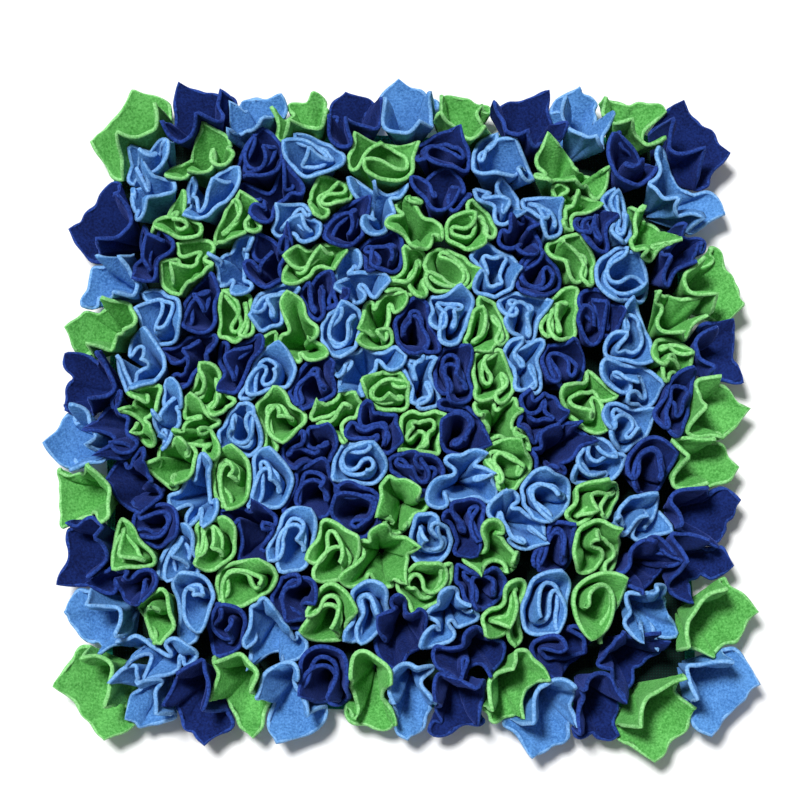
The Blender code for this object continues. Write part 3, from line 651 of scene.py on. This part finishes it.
# ---- materials -------------------------------------------------------------------------------------
def fleece(name, colour, pale, bump):
    """Brushed fleece: soft mottling, a short pile that catches light at a slant, and a fine nap."""
    material = bpy.data.materials.new(name)
    material.use_nodes = True
    nodes, links = material.node_tree.nodes, material.node_tree.links
    shader = nodes["Principled BSDF"]
    shader.inputs["Roughness"].default_value = 0.92
    shader.inputs["Specular IOR Level"].default_value = 0.12
    shader.inputs["Sheen Weight"].default_value = 0.28
    shader.inputs["Sheen Roughness"].default_value = 0.45
    shader.inputs["Sheen Tint"].default_value = (*[0.1 + 0.9 * c / max(pale) for c in pale], 1.0)
    spot = nodes.new("ShaderNodeTexCoord")
    broad = nodes.new("ShaderNodeTexNoise")
    broad.inputs["Scale"].default_value = 55.0
    broad.inputs["Detail"].default_value = 2.0
    nap = nodes.new("ShaderNodeTexNoise")
    nap.inputs["Scale"].default_value = 640.0
    nap.inputs["Detail"].default_value = 3.0
    nap.inputs["Roughness"].default_value = 0.68
    for texture in (broad, nap):
        links.new(spot.outputs["Object"], texture.inputs["Vector"])
    ramp = nodes.new("ShaderNodeValToRGB")
    ramp.color_ramp.elements[0].position = 0.38
    ramp.color_ramp.elements[0].color = (*[c * 0.80 for c in colour], 1.0)
    ramp.color_ramp.elements[1].position = 0.62
    ramp.color_ramp.elements[1].color = (*pale, 1.0)
    mixed = nodes.new("ShaderNodeMix")
    mixed.inputs[0].default_value = 0.75
    links.new(broad.outputs["Fac"], mixed.inputs[2])
    links.new(nap.outputs["Fac"], mixed.inputs[3])
    links.new(mixed.outputs[0], ramp.inputs["Fac"])
    links.new(ramp.outputs["Color"], shader.inputs["Base Color"])
    relief = nodes.new("ShaderNodeBump")
    relief.inputs["Strength"].default_value = bump
    relief.inputs["Distance"].default_value = 0.0014
    links.new(nap.outputs["Fac"], relief.inputs["Height"])
    links.new(relief.outputs["Normal"], shader.inputs["Normal"])
    return material


# of each fleece: its darker tone, its paler tone and the still paler tone of its cut edge, a painted highlight
# where the edge faces the light
FLEECES = {
    "green": ((0.065, 0.330, 0.055), (0.160, 0.540, 0.135), (0.340, 0.760, 0.300)),
    "sky": ((0.055, 0.195, 0.510), (0.120, 0.330, 0.720), (0.260, 0.510, 0.880)),
    "navy": ((0.004, 0.010, 0.070), (0.009, 0.026, 0.160), (0.029, 0.078, 0.370)),
}


def weave_material():
    """The base's coarse woven cloth."""
    material = bpy.data.materials.new("woven base")
    material.use_nodes = True
    nodes, links = material.node_tree.nodes, material.node_tree.links
    shader = nodes["Principled BSDF"]
    shader.inputs["Roughness"].default_value = 0.85
    shader.inputs["Specular IOR Level"].default_value = 0.2
    spot = nodes.new("ShaderNodeTexCoord")
    heights = []
    for direction in ("X", "Y"):
        wave = nodes.new("ShaderNodeTexWave")
        wave.bands_direction = direction
        wave.inputs["Scale"].default_value = 170.0
        wave.inputs["Distortion"].default_value = 0.6
        links.new(spot.outputs["Object"], wave.inputs["Vector"])
        heights.append(wave)
    crossed = nodes.new("ShaderNodeMath")
    crossed.operation = "MULTIPLY"
    links.new(heights[0].outputs["Fac"], crossed.inputs[0])
    links.new(heights[1].outputs["Fac"], crossed.inputs[1])
    # the weave's own dark teal-green, painted darker overall so that the base seen between tufts reads as
    # painted shade
    ramp = nodes.new("ShaderNodeValToRGB")
    ramp.color_ramp.elements[0].color = (0.001, 0.010, 0.008, 1.0)
    ramp.color_ramp.elements[1].color = (0.003, 0.032, 0.022, 1.0)
    links.new(crossed.outputs[0], ramp.inputs["Fac"])
    # the overlocked border: a paler thread within a few millimetres of the base's edge
    places = nodes.new("ShaderNodeSeparateXYZ")
    links.new(spot.outputs["Object"], places.inputs["Vector"])
    sides = []
    for axis in ("X", "Y"):
        side = nodes.new("ShaderNodeMath")
        side.operation = "ABSOLUTE"
        links.new(places.outputs[axis], side.inputs[0])
        sides.append(side)
    farther = nodes.new("ShaderNodeMath")
    farther.operation = "MAXIMUM"
    links.new(sides[0].outputs[0], farther.inputs[0])
    links.new(sides[1].outputs[0], farther.inputs[1])
    border = nodes.new("ShaderNodeMath")
    border.operation = "GREATER_THAN"
    border.inputs[1].default_value = BASE_SIDE / 2 - BORDER_WIDTH
    links.new(farther.outputs[0], border.inputs[0])
    mixed = nodes.new("ShaderNodeMix")
    mixed.data_type = "RGBA"
    mixed.inputs["B"].default_value = (0.012, 0.230, 0.150, 1.0)
    links.new(border.outputs[0], mixed.inputs["Factor"])
    links.new(ramp.outputs["Color"], mixed.inputs["A"])
    links.new(mixed.outputs["Result"], shader.inputs["Base Color"])
    relief = nodes.new("ShaderNodeBump")
    relief.inputs["Strength"].default_value = 0.8
    relief.inputs["Distance"].default_value = 0.0008
    links.new(crossed.outputs[0], relief.inputs["Height"])
    links.new(relief.outputs["Normal"], shader.inputs["Normal"])
    return material


def build_tufts():
    middles = [crown_middle(tuft) for tuft in TUFTS]
    roots = [root_of(middle) for middle in middles]
    centre = np.array(middles)
    edges, corners, rooms, lengths = [], [], [], []
    outlines = {fold: fine_outline(fold) for fold in (*RIBBONS, *CROWNS)}
    for number, (_, _, _, fold, turn) in enumerate(TUFTS):
        line, tips = outlines[fold]
        room = room_table(number, middles, RIM_SPREAD if at_rim(fold) else FULL_SPREAD)
        outward = math.atan2(*middles[number][::-1]) if at_rim(fold) else 0.0
        directions = np.arctan2(line[:, 1], line[:, 0]) + math.radians(turn) + outward
        reach = np.linalg.norm(line, axis=1) * (reach_in(room[None], directions[None])[0] - 0.0006)
        shape = centre[number] + np.stack([reach * np.cos(directions), reach * np.sin(directions)], axis=1)
        closed = np.vstack([shape, shape[:1]])
        run = np.concatenate([[0.0], np.cumsum(np.linalg.norm(np.diff(closed, axis=0), axis=1))])
        edge, _ = even_loop(shape, AROUND)
        edges.append(edge)
        rooms.append(room_table(number, middles, RIM_SPREAD if at_rim(fold) else CLOTH_SPREAD))
        lengths.append(RIM_EDGE_LENGTH if at_rim(fold) else EDGE_LENGTH)
        at_tips = np.interp(np.array(tips) * OUTLINE_POINTS, np.arange(OUTLINE_POINTS + 1), run)
        corners.append(sorted(float(tip / run[-1]) for tip in at_tips))
    edges = settle(np.array(edges), centre, np.array(rooms), np.array(lengths))
    made = [tuft_cloth(edges[number], centre[number], corners[number], TUFTS[number][3], number)
            for number in range(len(TUFTS))]
    sheets = let_open(np.array([cloth for cloth, _ in made]), np.array([fall for _, fall in made]))
    face = {name: fleece(f"{name} fleece", tones[0], tones[1], 0.55) for name, tones in FLEECES.items()}
    # the cut edges take a paler copy of each fleece: painted highlight where the edges face the light
    cut = {name: fleece(f"{name} cut edge", tones[1], tones[2], 0.35) for name, tones in FLEECES.items()}
    for colour in ("green", "navy", "sky"):
        for group_number, group in enumerate(group_roots(colour, roots), start=1):
            for number in group:
                piece = tuft_mesh(f"{colour}_square_{number + 1:03d}", sheets[number],
                                  (face[colour], cut[colour]))
                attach(piece, "root")
                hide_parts(f"{colour}_tufts_{group_number:02d}")


def dress_base():
    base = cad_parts["base"]
    base.data.materials.clear()
    base.data.materials.append(weave_material())


def build_floor():
    bpy.ops.mesh.primitive_plane_add(size=6.0, location=(0, 0, -0.0002))
    floor = bpy.context.object
    floor.name = "floor"
    material = bpy.data.materials.new("white floor")
    material.use_nodes = True
    shader = material.node_tree.nodes["Principled BSDF"]
    shader.inputs["Base Color"].default_value = (0.93, 0.93, 0.93, 1.0)
    shader.inputs["Roughness"].default_value = 0.9
    shader.inputs["Specular IOR Level"].default_value = 0.1
    floor.data.materials.append(material)


def build_light():
    world = bpy.data.worlds.new("studio")
    bpy.context.scene.world = world
    world.use_nodes = True
    background = world.node_tree.nodes["Background"]
    background.inputs["Color"].default_value = (0.97, 0.98, 1.0, 1.0)
    background.inputs["Strength"].default_value = 0.24
    sun = bpy.data.lights.new("key", "SUN")
    sun.energy = 3.8
    sun.angle = math.radians(14)
    lamp = bpy.data.objects.new("key", sun)
    bpy.context.scene.collection.objects.link(lamp)
    lamp.rotation_euler = Vector((0.27, -0.26, -0.93)).to_track_quat("-Z", "Y").to_euler()


def build_camera():
    """A camera high above the near side, whose view of the crowns matches the layout's grid."""
    elevation = math.radians(80)
    distance = 1.6
    aim = Vector(((400 - MIDDLE[0]) * GRID, (MIDDLE[1] - 400) * GRID, 0.045))
    camera = bpy.data.cameras.new("camera")
    camera.sensor_width = 36.0
    camera.lens = distance / GRID * 36.0 / 800
    thing = bpy.data.objects.new("camera", camera)
    bpy.context.scene.collection.objects.link(thing)
    back = Vector((0.0, -math.cos(elevation), math.sin(elevation)))
    thing.location = aim + back * distance
    thing.rotation_euler = (-back).to_track_quat("-Z", "Y").to_euler()
    bpy.context.scene.camera = thing


build_camera()
build_tufts()
dress_base()
build_floor()
build_light()
bpy.context.scene.view_settings.view_transform = "Standard"
